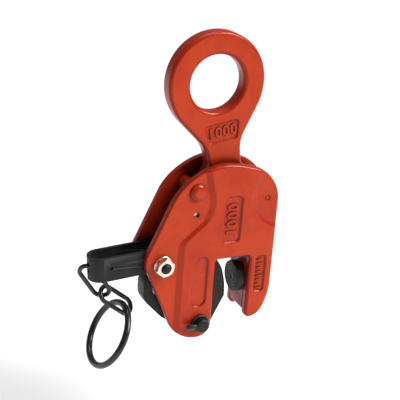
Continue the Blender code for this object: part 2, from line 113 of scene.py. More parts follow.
def enamelPaint(name, looks):
    material, nodes, links = newMaterial(name)

    place = nodes.new("ShaderNodeTexCoord")
    place.label = "position on the piece"
    tone = nodes.new("ShaderNodeTexNoise")
    tone.label = "slow change of film thickness"
    toneRamp = nodes.new("ShaderNodeValToRGB")
    toneRamp.label = "thick paint to thin paint"
    # painted shade: an occlusion mask darkens corners, recesses and the facing sides of the two cheeks
    # towards a near-black red
    cornerOcclusion = nodes.new("ShaderNodeAmbientOcclusion")
    cornerOcclusion.label = "how enclosed each point is"
    cornerOcclusionRamp = nodes.new("ShaderNodeValToRGB")
    cornerOcclusionRamp.label = "how dark the painted corner shade reads"
    paintedCornerShade = nodes.new("ShaderNodeMix")
    paintedCornerShade.label = "painted shade in corners and between parts"
    surface = nodes.new("ShaderNodeNewGeometry")
    surface.label = "shape of the surface"
    facing = nodes.new("ShaderNodeSeparateXYZ")
    facing.label = "which way the face points"
    # painted shade: where the normal turns away from the front and back, the darker slope colour takes
    # over, standing in for the shade on the stepped wall and the rims
    sloping = nodes.new("ShaderNodeMath")
    sloping.label = "either side of the clamp"
    slopeRange = nodes.new("ShaderNodeMapRange")
    slopeRange.label = "flat faces to sloping faces"
    slopeShaded = nodes.new("ShaderNodeMix")
    slopeShaded.label = "painted shade on turned faces"
    colourBox = nodes.new("NodeFrame")
    colourBox.label = "enamel colour with painted shade"

    duller = nodes.new("ShaderNodeTexNoise")
    duller.label = "patches of duller film"
    dullerRange = nodes.new("ShaderNodeMapRange")
    dullerRange.label = "gloss range"
    glossBox = nodes.new("NodeFrame")
    glossBox.label = "gloss"

    skin = nodes.new("ShaderNodeTexNoise")
    skin.label = "uneven forged skin"
    skinBump = nodes.new("ShaderNodeBump")
    skinBump.label = "forged skin under the paint"
    peel = nodes.new("ShaderNodeTexNoise")
    peel.label = "orange peel"
    peelBump = nodes.new("ShaderNodeBump")
    peelBump.label = "orange peel height"
    nibs = nodes.new("ShaderNodeTexVoronoi")
    nibs.label = "dust nibs"
    nibsRange = nodes.new("ShaderNodeMapRange")
    nibsRange.label = "only the middle of each nib"
    nibsBump = nodes.new("ShaderNodeBump")
    nibsBump.label = "nib height"
    reliefBox = nodes.new("NodeFrame")
    reliefBox.label = "relief"

    shader = nodes.new("ShaderNodeBsdfPrincipled")
    shader.label = "enamel"
    output = nodes.new("ShaderNodeOutputMaterial")
    output.label = "to the surface"
    shaderBox = nodes.new("NodeFrame")
    shaderBox.label = "finish"
    layOut([
        (colourBox, [place, tone, toneRamp, cornerOcclusion, cornerOcclusionRamp, paintedCornerShade,
                     surface, facing, sloping, slopeRange, slopeShaded]),
        (glossBox, [duller, dullerRange]),
        (reliefBox, [skin, skinBump, peel, peelBump, nibs, nibsRange, nibsBump]),
        (shaderBox, [shader, output]),
    ])

    tone.inputs["Scale"].default_value = 34
    tone.inputs["Detail"].default_value = 5
    tone.inputs["Roughness"].default_value = 0.62
    toneRamp.color_ramp.elements[0].position = 0.34
    toneRamp.color_ramp.elements[0].color = (*looks["deep"], 1)
    toneRamp.color_ramp.elements[1].position = 0.56
    toneRamp.color_ramp.elements[1].color = (*looks["face"], 1)
    # the painted shade reaches 30 mm, so the inner faces of the cheeks go dark
    cornerOcclusion.inputs["Distance"].default_value = 0.03
    cornerOcclusion.samples = 4
    cornerOcclusionRamp.color_ramp.elements[0].position = 0.25
    cornerOcclusionRamp.color_ramp.elements[1].position = 0.85
    paintedCornerShade.data_type = "RGBA"
    paintedCornerShade.inputs[6].default_value = (*looks["cornerShade"], 1)
    sloping.operation = "ABSOLUTE"
    # below 0.955 of the normal towards front or back a face takes the full painted shade
    slopeRange.inputs["From Min"].default_value = 0.955
    slopeRange.inputs["From Max"].default_value = 0.992
    slopeShaded.data_type = "RGBA"
    slopeShaded.inputs[6].default_value = (*looks["slope"], 1)
    duller.inputs["Scale"].default_value = 60
    duller.inputs["Detail"].default_value = 4
    dullerRange.inputs["From Min"].default_value = 0.3
    dullerRange.inputs["From Max"].default_value = 0.7
    dullerRange.inputs["To Min"].default_value = looks["roughness"][0]
    dullerRange.inputs["To Max"].default_value = looks["roughness"][1]
    skin.inputs["Scale"].default_value = 85
    skin.inputs["Detail"].default_value = 2
    skinBump.inputs["Strength"].default_value = looks["skin"]
    skinBump.inputs["Distance"].default_value = 0.0010
    peel.inputs["Scale"].default_value = 520
    peel.inputs["Detail"].default_value = 2
    peelBump.inputs["Strength"].default_value = 0.12
    peelBump.inputs["Distance"].default_value = 0.0004
    nibs.inputs["Scale"].default_value = 160
    nibsRange.inputs["From Min"].default_value = 0.0
    nibsRange.inputs["From Max"].default_value = 0.09
    nibsRange.inputs["To Min"].default_value = 1.0
    nibsRange.inputs["To Max"].default_value = 0.0
    nibsBump.inputs["Strength"].default_value = 0.2
    nibsBump.inputs["Distance"].default_value = 0.0003
    shader.inputs["Specular IOR Level"].default_value = 0.4
    shader.inputs["Specular Tint"].default_value = (1.0, 0.55, 0.42, 1)
    shader.inputs["Coat Weight"].default_value = looks["coat"]
    shader.inputs["Coat Roughness"].default_value = 0.10

    links.new(place.outputs["Object"], tone.inputs["Vector"])
    links.new(tone.outputs["Fac"], toneRamp.inputs["Fac"])
    # the painted corner shade is mixed over the paint colour here
    links.new(cornerOcclusion.outputs["AO"], cornerOcclusionRamp.inputs["Fac"])
    links.new(cornerOcclusionRamp.outputs["Color"], paintedCornerShade.inputs[0])
    links.new(surface.outputs["Normal"], facing.inputs["Vector"])
    links.new(facing.outputs["Y"], sloping.inputs[0])
    links.new(sloping.outputs["Value"], slopeRange.inputs["Value"])
    links.new(slopeRange.outputs["Result"], slopeShaded.inputs[0])
    links.new(toneRamp.outputs["Color"], slopeShaded.inputs[7])
    links.new(slopeShaded.outputs[2], paintedCornerShade.inputs[7])
    links.new(paintedCornerShade.outputs[2], shader.inputs["Base Color"])
    links.new(place.outputs["Object"], duller.inputs["Vector"])
    links.new(duller.outputs["Fac"], dullerRange.inputs["Value"])
    links.new(dullerRange.outputs["Result"], shader.inputs["Roughness"])
    links.new(place.outputs["Object"], skin.inputs["Vector"])
    links.new(skin.outputs["Fac"], skinBump.inputs["Height"])
    links.new(place.outputs["Object"], peel.inputs["Vector"])
    links.new(peel.outputs["Fac"], peelBump.inputs["Height"])
    links.new(skinBump.outputs["Normal"], peelBump.inputs["Normal"])
    links.new(place.outputs["Object"], nibs.inputs["Vector"])
    links.new(nibs.outputs["Distance"], nibsRange.inputs["Value"])
    links.new(nibsRange.outputs["Result"], nibsBump.inputs["Height"])
    links.new(peelBump.outputs["Normal"], nibsBump.inputs["Normal"])
    links.new(nibsBump.outputs["Normal"], shader.inputs["Normal"])
    links.new(skinBump.outputs["Normal"], shader.inputs["Coat Normal"])
    links.new(shader.outputs["BSDF"], output.inputs["Surface"])
    return material


def metalFinish(name, looks):
    # one make-up for blackened, plated and bare steel
    material, nodes, links = newMaterial(name)

    place = nodes.new("ShaderNodeTexCoord")
    place.label = "position on the piece"
    tone = nodes.new("ShaderNodeTexNoise")
    tone.label = "cloudy change of the finish"
    toneRamp = nodes.new("ShaderNodeValToRGB")
    toneRamp.label = "two tones of the finish"
    # the sharpest edges are drawn paler than the faces
    edge = nodes.new("ShaderNodeNewGeometry")
    edge.label = "how sharp the edge is"
    edgeRamp = nodes.new("ShaderNodeValToRGB")
    edgeRamp.label = "only the sharpest edges"
    paleEdgeMix = nodes.new("ShaderNodeMix")
    paleEdgeMix.label = "paler sharp edges"
    colourBox = nodes.new("NodeFrame")
    colourBox.label = "colour"

    wear = nodes.new("ShaderNodeTexNoise")
    wear.label = "fine wear"
    wearRange = nodes.new("ShaderNodeMapRange")
    wearRange.label = "roughness range"
    glossBox = nodes.new("NodeFrame")
    glossBox.label = "gloss"

    forming = nodes.new("ShaderNodeTexNoise")
    forming.label = "unevenness left by forming"
    formingBump = nodes.new("ShaderNodeBump")
    formingBump.label = "unevenness height"
    grain = nodes.new("ShaderNodeTexNoise")
    grain.label = "grain of the surface"
    grainBump = nodes.new("ShaderNodeBump")
    grainBump.label = "grain height"
    reliefBox = nodes.new("NodeFrame")
    reliefBox.label = "relief"

    shader = nodes.new("ShaderNodeBsdfPrincipled")
    shader.label = "finished metal"
    output = nodes.new("ShaderNodeOutputMaterial")
    output.label = "to the surface"
    shaderBox = nodes.new("NodeFrame")
    shaderBox.label = "finish"
    layOut([
        (colourBox, [place, tone, toneRamp, edge, edgeRamp, paleEdgeMix]),
        (glossBox, [wear, wearRange]),
        (reliefBox, [forming, formingBump, grain, grainBump]),
        (shaderBox, [shader, output]),
    ])

    tone.inputs["Scale"].default_value = looks["toneScale"]
    tone.inputs["Detail"].default_value = 6
    toneRamp.color_ramp.elements[0].position = 0.36
    toneRamp.color_ramp.elements[0].color = (*looks["toneOne"], 1)
    toneRamp.color_ramp.elements[1].position = 0.64
    toneRamp.color_ramp.elements[1].color = (*looks["toneTwo"], 1)
    edgeRamp.color_ramp.elements[0].position = 0.53
    edgeRamp.color_ramp.elements[1].position = 0.62
    paleEdgeMix.data_type = "RGBA"
    paleEdgeMix.inputs[7].default_value = (*looks["edge"], 1)
    wear.inputs["Scale"].default_value = 240
    wear.inputs["Detail"].default_value = 7
    wear.inputs["Roughness"].default_value = 0.7
    wearRange.inputs["From Min"].default_value = 0.35
    wearRange.inputs["From Max"].default_value = 0.65
    wearRange.inputs["To Min"].default_value = looks["roughness"][0]
    wearRange.inputs["To Max"].default_value = looks["roughness"][1]
    forming.inputs["Scale"].default_value = 110
    forming.inputs["Detail"].default_value = 2
    formingBump.inputs["Strength"].default_value = looks["forming"]
    formingBump.inputs["Distance"].default_value = 0.0008
    grain.inputs["Scale"].default_value = 900
    grain.inputs["Detail"].default_value = 3
    grainBump.inputs["Strength"].default_value = looks["grain"]
    grainBump.inputs["Distance"].default_value = 0.0003
    shader.inputs["Metallic"].default_value = looks["metallic"]
    shader.inputs["Specular IOR Level"].default_value = looks["shine"]
    shader.inputs["Coat Weight"].default_value = looks["coat"]
    shader.inputs["Coat Roughness"].default_value = 0.2

    links.new(place.outputs["Object"], tone.inputs["Vector"])
    links.new(tone.outputs["Fac"], toneRamp.inputs["Fac"])
    links.new(edge.outputs["Pointiness"], edgeRamp.inputs["Fac"])
    links.new(edgeRamp.outputs["Color"], paleEdgeMix.inputs[0])
    links.new(toneRamp.outputs["Color"], paleEdgeMix.inputs[6])
    links.new(paleEdgeMix.outputs[2], shader.inputs["Base Color"])
    links.new(place.outputs["Object"], wear.inputs["Vector"])
    links.new(wear.outputs["Fac"], wearRange.inputs["Value"])
    links.new(wearRange.outputs["Result"], shader.inputs["Roughness"])
    links.new(place.outputs["Object"], forming.inputs["Vector"])
    links.new(forming.outputs["Fac"], formingBump.inputs["Height"])
    links.new(place.outputs["Object"], grain.inputs["Vector"])
    links.new(grain.outputs["Fac"], grainBump.inputs["Height"])
    links.new(formingBump.outputs["Normal"], grainBump.inputs["Normal"])
    links.new(grainBump.outputs["Normal"], shader.inputs["Normal"])
    links.new(shader.outputs["BSDF"], output.inputs["Surface"])
    return material


blackLooks = {
    "toneOne": (0.006, 0.006, 0.007), "toneTwo": (0.013, 0.012, 0.013), "toneScale": 70,
    "edge": (0.06, 0.058, 0.06), "roughness": (0.34, 0.52), "grain": 0.10, "forming": 0.18,
    "metallic": 0.0, "coat": 0.0, "shine": 0.28,
}
wireLooks = {
    "toneOne": (0.004, 0.004, 0.005), "toneTwo": (0.009, 0.009, 0.010), "toneScale": 120,
    "edge": (0.02, 0.02, 0.02), "roughness": (0.22, 0.34), "grain": 0.06, "forming": 0.2,
    "metallic": 0.0, "coat": 0.3, "shine": 0.4,
}
zincLooks = {
    "toneOne": (0.84, 0.66, 0.60), "toneTwo": (0.80, 0.76, 0.60), "toneScale": 160,
    "edge": (0.95, 0.93, 0.88), "roughness": (0.20, 0.34), "grain": 0.06, "forming": 0.1,
    "metallic": 1.0, "coat": 0.0, "shine": 0.5,
}
steelLooks = {
    "toneOne": (0.30, 0.29, 0.28), "toneTwo": (0.42, 0.41, 0.40), "toneScale": 90,
    "edge": (0.6, 0.6, 0.6), "roughness": (0.28, 0.45), "grain": 0.12, "forming": 0.1,
    "metallic": 1.0, "coat": 0.0, "shine": 0.5,
}

finishes = {
    "enamel": enamelPaint("orangeRedEnamel", enamelLooks),
    "black": metalFinish("satinBlack", blackLooks),
    "wire": metalFinish("blackWire", wireLooks),
    "zinc": metalFinish("passivatedZinc", zincLooks),
    "steel": metalFinish("bareSteel", steelLooks),
}
print("materials made")


def outlineFace(bm, corners, y):
    # corners are (x, z, radius)
    verts = [bm.verts.new((x, y, z)) for x, z, radius in corners]
    bm.faces.new(verts)
    for i, (x, z, radius) in enumerate(corners):
        if radius:
            here = Vector((x, z))
            before = Vector(corners[i - 1][:2]) - here
            after = Vector(corners[(i + 1) % len(corners)][:2]) - here
            inside = before.angle(after)
            bmesh.ops.bevel(
                bm, geom=[verts[i]], offset=radius / math.tan(inside / 2), offset_type="OFFSET",
                segments=max(4, round((180 - math.degrees(inside)) / 3)), profile=0.5,
                material=-1, affect="VERTICES", clamp_overlap=False)
    bmesh.ops.remove_doubles(bm, verts=bm.verts[:], dist=1e-3)
    return bm.faces[:]


def pullOut(bm, faces, y):
    grown = bmesh.ops.extrude_face_region(bm, geom=faces)["geom"]
    verts = [g for g in grown if isinstance(g, bmesh.types.BMVert)]
    bmesh.ops.translate(bm, verts=verts, vec=(0, y - verts[0].co.y, 0))
    return [g for g in grown if isinstance(g, bmesh.types.BMFace)]


def rollRim(bm, faces, radius, side, steps=5):
    # insets the face in steps along a quarter circle
    for k in range(steps):
        a0, a1 = (math.pi / 2 * (k + n) / steps for n in (0, 1))
        bmesh.ops.inset_region(
            bm, faces=faces, thickness=radius * (math.cos(a0) - math.cos(a1)), depth=0,
            use_even_offset=True, use_boundary=True)
        verts = {v for f in faces for v in f.verts}
        rise = side * radius * (math.sin(a1) - math.sin(a0))
        bmesh.ops.translate(bm, verts=list(verts), vec=(0, rise, 0))


def close(bm):
    bmesh.ops.remove_doubles(bm, verts=bm.verts[:], dist=1e-4)
    bmesh.ops.holes_fill(bm, edges=bm.edges[:], sides=0)
    bmesh.ops.recalc_face_normals(bm, faces=bm.faces[:])


def plate(corners, start, end, rim=0.0):
    # a flat piece along Y, with the rim at the end rounded
    bm = bmesh.new()
    side = math.copysign(1, end - start)
    top = pullOut(bm, outlineFace(bm, corners, start), end - side * rim)
    if rim:
        rollRim(bm, top, rim, side)
    close(bm)
    return bm


def doublePlate(corners, half, rim):
    # a flat piece centred on the middle plane, with both rims rounded
    bm = plate(corners, 0, half, rim)
    flat = [f for f in bm.faces if all(abs(v.co.y) < 1e-6 for v in f.verts)]
    bmesh.ops.delete(bm, geom=flat, context="FACES")
    bmesh.ops.mirror(bm, geom=bm.verts[:] + bm.edges[:] + bm.faces[:], axis="Y", merge_dist=1e-3)
    close(bm)
    return bm


def turnedBody(profile, place, axis="Y", steps=48, hollow=False):
    # profile is (radius, distance along the axis), from the axis and back to it;
    # a hollow piece's profile closes on itself clear of the axis
    bm = bmesh.new()
    verts = [bm.verts.new((r, y, 0)) for r, y in profile]
    ends = verts[1:] + verts[:1] if hollow else verts[1:]
    for a, b in zip(verts, ends):
        bm.edges.new((a, b))
    bmesh.ops.spin(
        bm, geom=bm.verts[:] + bm.edges[:], cent=(0, 0, 0), axis=(0, 1, 0), dvec=(0, 0, 0),
        angle=2 * math.pi, steps=steps, use_merge=True, use_duplicate=False)
    close(bm)
    if axis == "X":
        turn = Matrix.Rotation(-math.pi / 2, 3, "Z")
        bmesh.ops.rotate(bm, verts=bm.verts[:], cent=(0, 0, 0), matrix=turn)
    bmesh.ops.translate(bm, verts=bm.verts[:], vec=place)
    return bm


def bothWays(half):
    # a turned profile that is the same towards both cheeks
    return [(r, -y) for r, y in half[::-1]] + half


def rod(radius, y0, y1, place, axis="Y"):
    return turnedBody([(0, y0), (radius, y0), (radius, y1), (0, y1)], place, axis)


def roundBox(x0, x1, z0, z1, radius):
    return [(x0, z0, radius), (x1, z0, radius), (x1, z1, radius), (x0, z1, radius)]


def lean(bm, degrees, place):
    # tips a piece about Y, then carries it to its place
    turn = Matrix.Rotation(math.radians(degrees), 3, "Y")
    bmesh.ops.rotate(bm, verts=bm.verts[:], cent=(0, 0, 0), matrix=turn)
    bmesh.ops.translate(bm, verts=bm.verts[:], vec=place)
    return bm


def newObject(name, bm):
    bmesh.ops.scale(bm, vec=(mm, mm, mm), verts=bm.verts[:])
    mesh = bpy.data.meshes.new(name)
    bm.to_mesh(mesh)
    bm.free()
    return addObject(name, mesh)


def finalMesh(made):
    graph = bpy.context.evaluated_depsgraph_get()
    return bpy.data.meshes.new_from_object(made.evaluated_get(graph))


def settle(made):
    # turns the modifiers into mesh
    made.data = finalMesh(made)
    made.modifiers.clear()


def shapeWith(made, tools, operation="DIFFERENCE"):
    helpers = [newObject(f"{made.name}.tool", bm) for bm in tools]
    for helper in helpers:
        step = made.modifiers.new("shape", "BOOLEAN")
        step.operation = operation
        step.solver = "EXACT"
        step.object = helper
    settle(made)
    for helper in helpers:
        bpy.data.objects.remove(helper)


def cast(made, voxel, smoothing):
    # one skin over the whole piece, with its edges softened
    remesh = made.modifiers.new("skin", "REMESH")
    remesh.mode = "VOXEL"
    remesh.voxel_size = voxel * mm
    settle(made)
    soften = made.modifiers.new("soften", "SMOOTH")
    soften.factor = 0.5
    soften.iterations = smoothing
    settle(made)


def softEdges(made, width, segments=2):
    step = made.modifiers.new("edges", "BEVEL")
    step.width = width * mm
    step.segments = segments
    step.limit_method = "ANGLE"
    step.angle_limit = math.radians(30)
    settle(made)


def finishPiece(made, finish, body, replaced=(), sharp=35):
    made.data.materials.clear()
    made.data.materials.append(finishes[finish])
    made.data.shade_smooth()
    if sharp:
        made.data.set_sharp_from_angle(angle=math.radians(sharp))
    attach(made, body)
    if replaced:
        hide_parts(*replaced)


def numerals(name, words, size, height, place, turn, body, leanBack=0, about=(0, 0, 0)):
    # raised figures, cast with the piece
    curve = bpy.data.curves.new(name, "FONT")
    curve.body = words
    curve.size = size * mm
    curve.extrude = height / 2 * mm
    curve.bevel_depth = 0.25 * mm
    curve.bevel_resolution = 1
    curve.offset = 0.15 * mm
    curve.align_x = "CENTER"
    curve.align_y = "CENTER"
    curve.space_character = 1.1
    letters = addObject(f"{name}.curve", curve)
    mesh = finalMesh(letters)
    bpy.data.objects.remove(letters)
    mesh.transform(Euler([math.radians(a) for a in turn]).to_matrix().to_4x4())
    mesh.transform(Matrix.Translation(Vector(place) * mm))
    mesh.transform(Matrix.Rotation(math.radians(leanBack), 4, "Y"))
    mesh.transform(Matrix.Translation(Vector(about) * mm))
    finishPiece(addObject(name, mesh), "enamel", body)


through = 12     # half length of a tool that cuts right through the cam or the eye
pivots = {
    "cam": (-29.1, 0, -60.6), "lever": (-68.5, 0, 1.4), "eye": (-3.2, 0, 49.4),
    "camLink": (-65.1, 0, -23.6), "topSpacer": (-39.5, 0, 66.7), "cornerSpacer": (29.6, 0, 54.9),
    "springTop": (-39.3, 0, 45.4), "springLow": (-39.3, 0, -30.6),
}

cheekSizes = {
    "inner": 12.0, "outer": 19.9, "low": 18.2, "rim": 2.8,
    "slope": 6.4,          # run of the wall between the thick and the thin zone
    "wallShift": -4.2,     # foot of that wall, measured from its middle line
    "pocket": 1.5,         # depth of the pockets below
    "labelPocket": (-12.6, 4.4, 15.9, 59.9, 4), "legPocket": (23.2, 33.4, -36.8, -0.8, 3),
    "groove": (-39.2, -25.0, -44.0, 5.2, 6.8),
    "recess": {"place": (46.8, 0, 58.4), "floor": 29.5, "rim": 33.0},
    "clear": {"pocket": 26, "recess": 22, "drill": (5, 30), "wall": 4},     # where each tool ends
    "holes": {"cam": 7.0, "lever": 4.3, "springTop": 2.3, "cornerSpacer": 2.3},
    "figures": {"size": 14.5, "height": 1.6, "x": -3.9, "z": 37.9},
    "voxel": 0.68, "smoothing": 4,
}


def cheekCorners():
    return [
        (-86.6, 4.6, 18), (-48.3, 89.6, 54), (-5.0, 90.2, 60), (40.9, 78.2, 34), (41.0, -43.0, 50),
        (30.5, -63.2, 13.4), (17.1, -63.2, 5), (17.1, 0, 3), (-17.1, 0, 3), (-17.1, -76.2, 13),
        (-50.7, -76.2, 28),
    ]


def wallCorners(shift):
    # the middle line of the wall, then far round the outside of the thin zone
    line = [(-29.6, 110, 0), (-29.6, 82, 20), (-22.5, 56, 26), (-28.0, 39, 14), (-51.0, 20, 12),
            (-51.2, -110, 0)]
    return [(x + shift, z, radius) for x, z, radius in line] + [(-130, -110, 0), (-130, 110, 0)]


def stepTool(s, side):
    # takes the thin zone down, with a sloping wall beside it
    bm = bmesh.new()
    above = s["outer"] + s["clear"]["wall"]
    top = pullOut(bm, outlineFace(bm, wallCorners(s["wallShift"]), side * s["low"]), side * above)
    run = s["slope"] * (above - s["low"]) / (s["outer"] - s["low"])
    bmesh.ops.translate(bm, verts=list({v for f in top for v in f.verts}), vec=(run, 0, 0))
    close(bm)
    return bm


def makeCheek(name, node, side):
    s = cheekSizes
    clear = s["clear"]
    outer = side * s["outer"]
    floor = outer - side * s["pocket"]
    made = newObject(name, plate(cheekCorners(), side * s["inner"], outer, s["rim"]))
    tools = [stepTool(s, side)]
    for pocket in ("labelPocket", "legPocket", "groove"):
        tools.append(plate(roundBox(*s[pocket]), floor, side * clear["pocket"]))
    recess, end = s["recess"], side * clear["recess"]
    bowl = [(0, floor), (recess["floor"], floor), (recess["rim"], outer),
            (recess["rim"] + 2, end), (0, end)]
    tools.append(turnedBody(bowl, recess["place"], steps=96))
    near, far = (side * y for y in clear["drill"])
    tools += [rod(radius, near, far, pivots[hole]) for hole, radius in s["holes"].items()]
    shapeWith(made, tools)
    cast(made, s["voxel"], s["smoothing"])
    finishPiece(made, "enamel", "frame", [node], sharp=0)
    turn = (90, -90, 0) if side < 0 else (90, 90, 180)
    figures = s["figures"]
    place = (figures["x"], floor, figures["z"])
    numerals(f"{name}Numerals", "1000", figures["size"], figures["height"], place, turn, "frame")
    print(name, len(made.data.polygons), "faces")


makeCheek("frontCheek", "front_cheek", -1)
makeCheek("backCheek", "back_cheek", 1)


tickSizes = {
    "x": (24.9, 31.7), "z": (-33.2, -4.6), "count": 8, "wide": 1.3, "floor": 18.5, "proud": 19.5,
    "shorter": 2.4,     # every third bar is full length, the others are shorter by this
    "edge": 0.3,
}


def makeTicks(name, side):
    # a row of plain raised bars in the leg's pocket
    s = tickSizes
    bm = bmesh.new()
    for k in range(s["count"]):
        z = s["z"][0] + (s["z"][1] - s["z"][0]) * k / (s["count"] - 1)
        x1 = s["x"][1] - (s["shorter"] if k % 3 else 0)
        bar = bmesh.ops.create_cube(bm, size=1)["verts"]
        middle = Vector(((s["x"][0] + x1) / 2, side * (s["floor"] + s["proud"]) / 2, z))
        bmesh.ops.scale(bm, vec=(x1 - s["x"][0], s["proud"] - s["floor"], s["wide"]), verts=bar)
        bmesh.ops.translate(bm, verts=bar, vec=middle)
    bmesh.ops.bevel(
        bm, geom=bm.edges[:], offset=s["edge"], segments=2, profile=0.5, material=-1, affect="EDGES")
    finishPiece(newObject(name, bm), "enamel", "frame")


makeTicks("frontCheekTicks", -1)
makeTicks("backCheekTicks", 1)


eyeSizes = {
    "half": 7.5, "rim": 3.0, "outer": 44.9, "hole": 25.0, "reach": 111.8, "lip": 3.8,
    "lean": -10.3, "pinHole": 6.2, "pocket": 1.4, "figures": {"size": 13.0, "height": 1.6, "z": 68.0},
    "neck": 96.3, "foot": -14.6, "voxel": 0.62, "smoothing": 4,
}


def eyeTool(s):
    # the hole, with a broad rounded lip on each side
    angles = [math.radians(15 * k) for k in range(7)]
    curve = [(s["lip"] * (1 - math.cos(a)), s["lip"] * math.sin(a)) for a in angles]
    front = [(s["hole"] + r, s["half"] - s["lip"] + y) for r, y in curve]
    wide = s["hole"] + s["lip"]
    profile = [(0, -through), (wide, -through)] + bothWays(front) + [(wide, through), (0, through)]
    return turnedBody(profile, (0, 0, s["reach"]), steps=96)


def makeEye():
    s = eyeSizes
    outer, neck, foot = s["outer"], s["neck"], s["foot"]
    r, top = outer - 0.1, s["reach"] + outer
    corners = [
        (-outer, top, r), (outer, top, r), (outer, neck, r), (16.6, 56, 26), (15.8, 38, 10),
        (19, 25, 4), (19, -5, 8), (11, foot, 8), (-11, foot, 8), (-26.2, -3, 8), (-26.2, 25, 4),
        (-15.8, 38, 10), (-16.6, 56, 26), (-outer, neck, r),
    ]
    pocket = [(-13.6, 59.4, 3), (13.6, 59.4, 3), (16.6, 76.4, 3), (-16.6, 76.4, 3)]
    blank = doublePlate(corners, s["half"], s["rim"])
    made = newObject("liftingEye", lean(blank, s["lean"], pivots["eye"]))
    tools = [eyeTool(s), rod(s["pinHole"], -through, through, (0, 0, 0)),
             plate(pocket, s["pocket"] - s["half"], -through)]
    shapeWith(made, [lean(bm, s["lean"], pivots["eye"]) for bm in tools])
    cast(made, s["voxel"], s["smoothing"])
    finishPiece(made, "enamel", "eye", ["lifting_eye"], sharp=0)
    figures = s["figures"]
    place = (0, s["pocket"] - s["half"], figures["z"])
    numerals("eyeNumerals", "1000", figures["size"], figures["height"], place, (90, 0, 0), "eye",
             s["lean"], pivots["eye"])
    print("eye", len(made.data.polygons), "faces")


makeEye()


jawSizes = {
    "half": 11.7, "rim": 0.5, "screwHole": 6.3, "edge": 0.25,
    "padPlace": (0, 0, -27.6), "padRings": 4, "ringPitch": 2.6,
}


def makeFrameBits():
    # jaw block, spacers, swivel pad
    s = jawSizes
    corners = [(-7.7, 0, 0), (17.1, 0, 0), (17.1, -57, 1.5), (24, -57, 8), (33, -44, 6),
               (33, 5, 2), (-7.7, 5, 2)]
    block = newObject("jawBlock", doublePlate(corners, s["half"], s["rim"]))
    shapeWith(block, [rod(s["screwHole"], 5, 45, s["padPlace"], "X")])
    softEdges(block, s["edge"])
    finishPiece(block, "enamel", "frame", ["jaw_block"])

    rise = [(8.0, 18.4), (7.9, 19.2), (7.3, 20.3), (6.1, 21.2), (4.2, 21.8), (2.0, 22.05), (0, 22.1)]
    half = [(6.0, 11.6), (4.2, 11.8), (4.2, 18.3)] + rise
    rivet = newObject("topSpacerRivet", turnedBody(bothWays(half), pivots["topSpacer"]))
    finishPiece(rivet, "enamel", "frame", ["top_spacer_rivet"], sharp=50)
    half = [(5.0, 11.4), (4.7, 11.7), (2.0, 11.7), (2.0, 17.9), (1.5, 18.3), (0, 18.35)]
    spacer = newObject("cornerSpacer", turnedBody(bothWays(half), pivots["cornerSpacer"], steps=32))
    finishPiece(spacer, "enamel", "frame", ["corner_spacer"])

    face = [(0, 10.3), (2.6, 10.3), (2.9, 9.8)]
    for k in range(s["padRings"]):     # raised rings on the gripping face
        r = 3.4 + k * s["ringPitch"]
        face += [(r, 9.8), (r + 1.5, 9.8), (r + 1.8, 10.3), (r + 2.3, 10.3)]
    profile = face + [(13.7, 9.8), (14.3, 10.2), (14.5, 10.8), (14.5, 16.3), (14.1, 16.8), (6, 16.8),
                      (6, 33.3), (5.7, 33.6), (0, 33.6)]
    pad = newObject("swivelPad", turnedBody(profile, s["padPlace"], "X", 64))
    finishPiece(pad, "black", "pad", ["swivel_pad"])


makeFrameBits()
print("frame pieces made")


camSizes = {
    "half": 8.0, "rim": 0.8, "pinHole": 7.0, "linkHole": 6.2, "springHole": 2.3, "springSlot": 2.5,
    "teeth": 9, "firstTooth": 21.0, "toothPitch": 3.9, "toothDepth": 1.2, "toothFlank": 1.6,
    "jaw": 29.3,           # reach of the jaw face from the pin
    "curveFrom": 30, "curve": 0.0125,     # above that height the jaw face falls back
}
camCorners = [
    (29.2, 17.6, 2), (29.6, 28.0, 60), (23.5, 50.5, 30), (15.5, 58.4, 5), (5.0, 58.4, 6),
    (-3.0, 46.0, 16), (-22.0, 46.5, 12), (-33.0, 51.5, 10), (-51.6, 46.0, 11), (-51.2, 24.0, 14),
    (-30.5, 2.2, 8), (-16.5, 2.0, 8), (-13.8, -13.8, 13.5), (13.8, -13.8, 13.5),
]


def makeCam():
    s = camSizes
    made = newObject("toothedCam", lean(doublePlate(camCorners, s["half"], s["rim"]), 0, pivots["cam"]))
    slot = plate(roundBox(-18.2, -2.2, 23.0, 70.0, 4), -s["springSlot"], s["springSlot"])
    holes = {"cam": s["pinHole"], "camLink": s["linkHole"], "springLow": s["springHole"]}
    tools = [rod(radius, -through, through, pivots[hole]) for hole, radius in holes.items()]
    tools.append(lean(slot, 0, pivots["cam"]))
    for k in range(s["teeth"]):     # grooves between the teeth, across the jaw face
        z = s["firstTooth"] + s["toothPitch"] * k
        face = s["jaw"] - max(0, z - s["curveFrom"]) ** 2 * s["curve"]
        wide = s["toothFlank"]
        tooth = [(face - s["toothDepth"], z, 0), (face + wide, z + wide, 0), (face + wide, z - wide, 0)]
        tools.append(lean(plate(tooth, -through, through), 0, pivots["cam"]))
    shapeWith(made, tools)
    finishPiece(made, "black", "cam", ["cam"])


makeCam()


pinSizes = {
    "cross": -25.2, "crossHole": 2.8,
    "crests": 4, "threadPitch": 0.75,
    "nutFlats": 15.4, "nutTurn": 20, "nutCorner": 0.3, "nutFaces": (-26.4, -20.2), "nutEdge": 0.22,
}


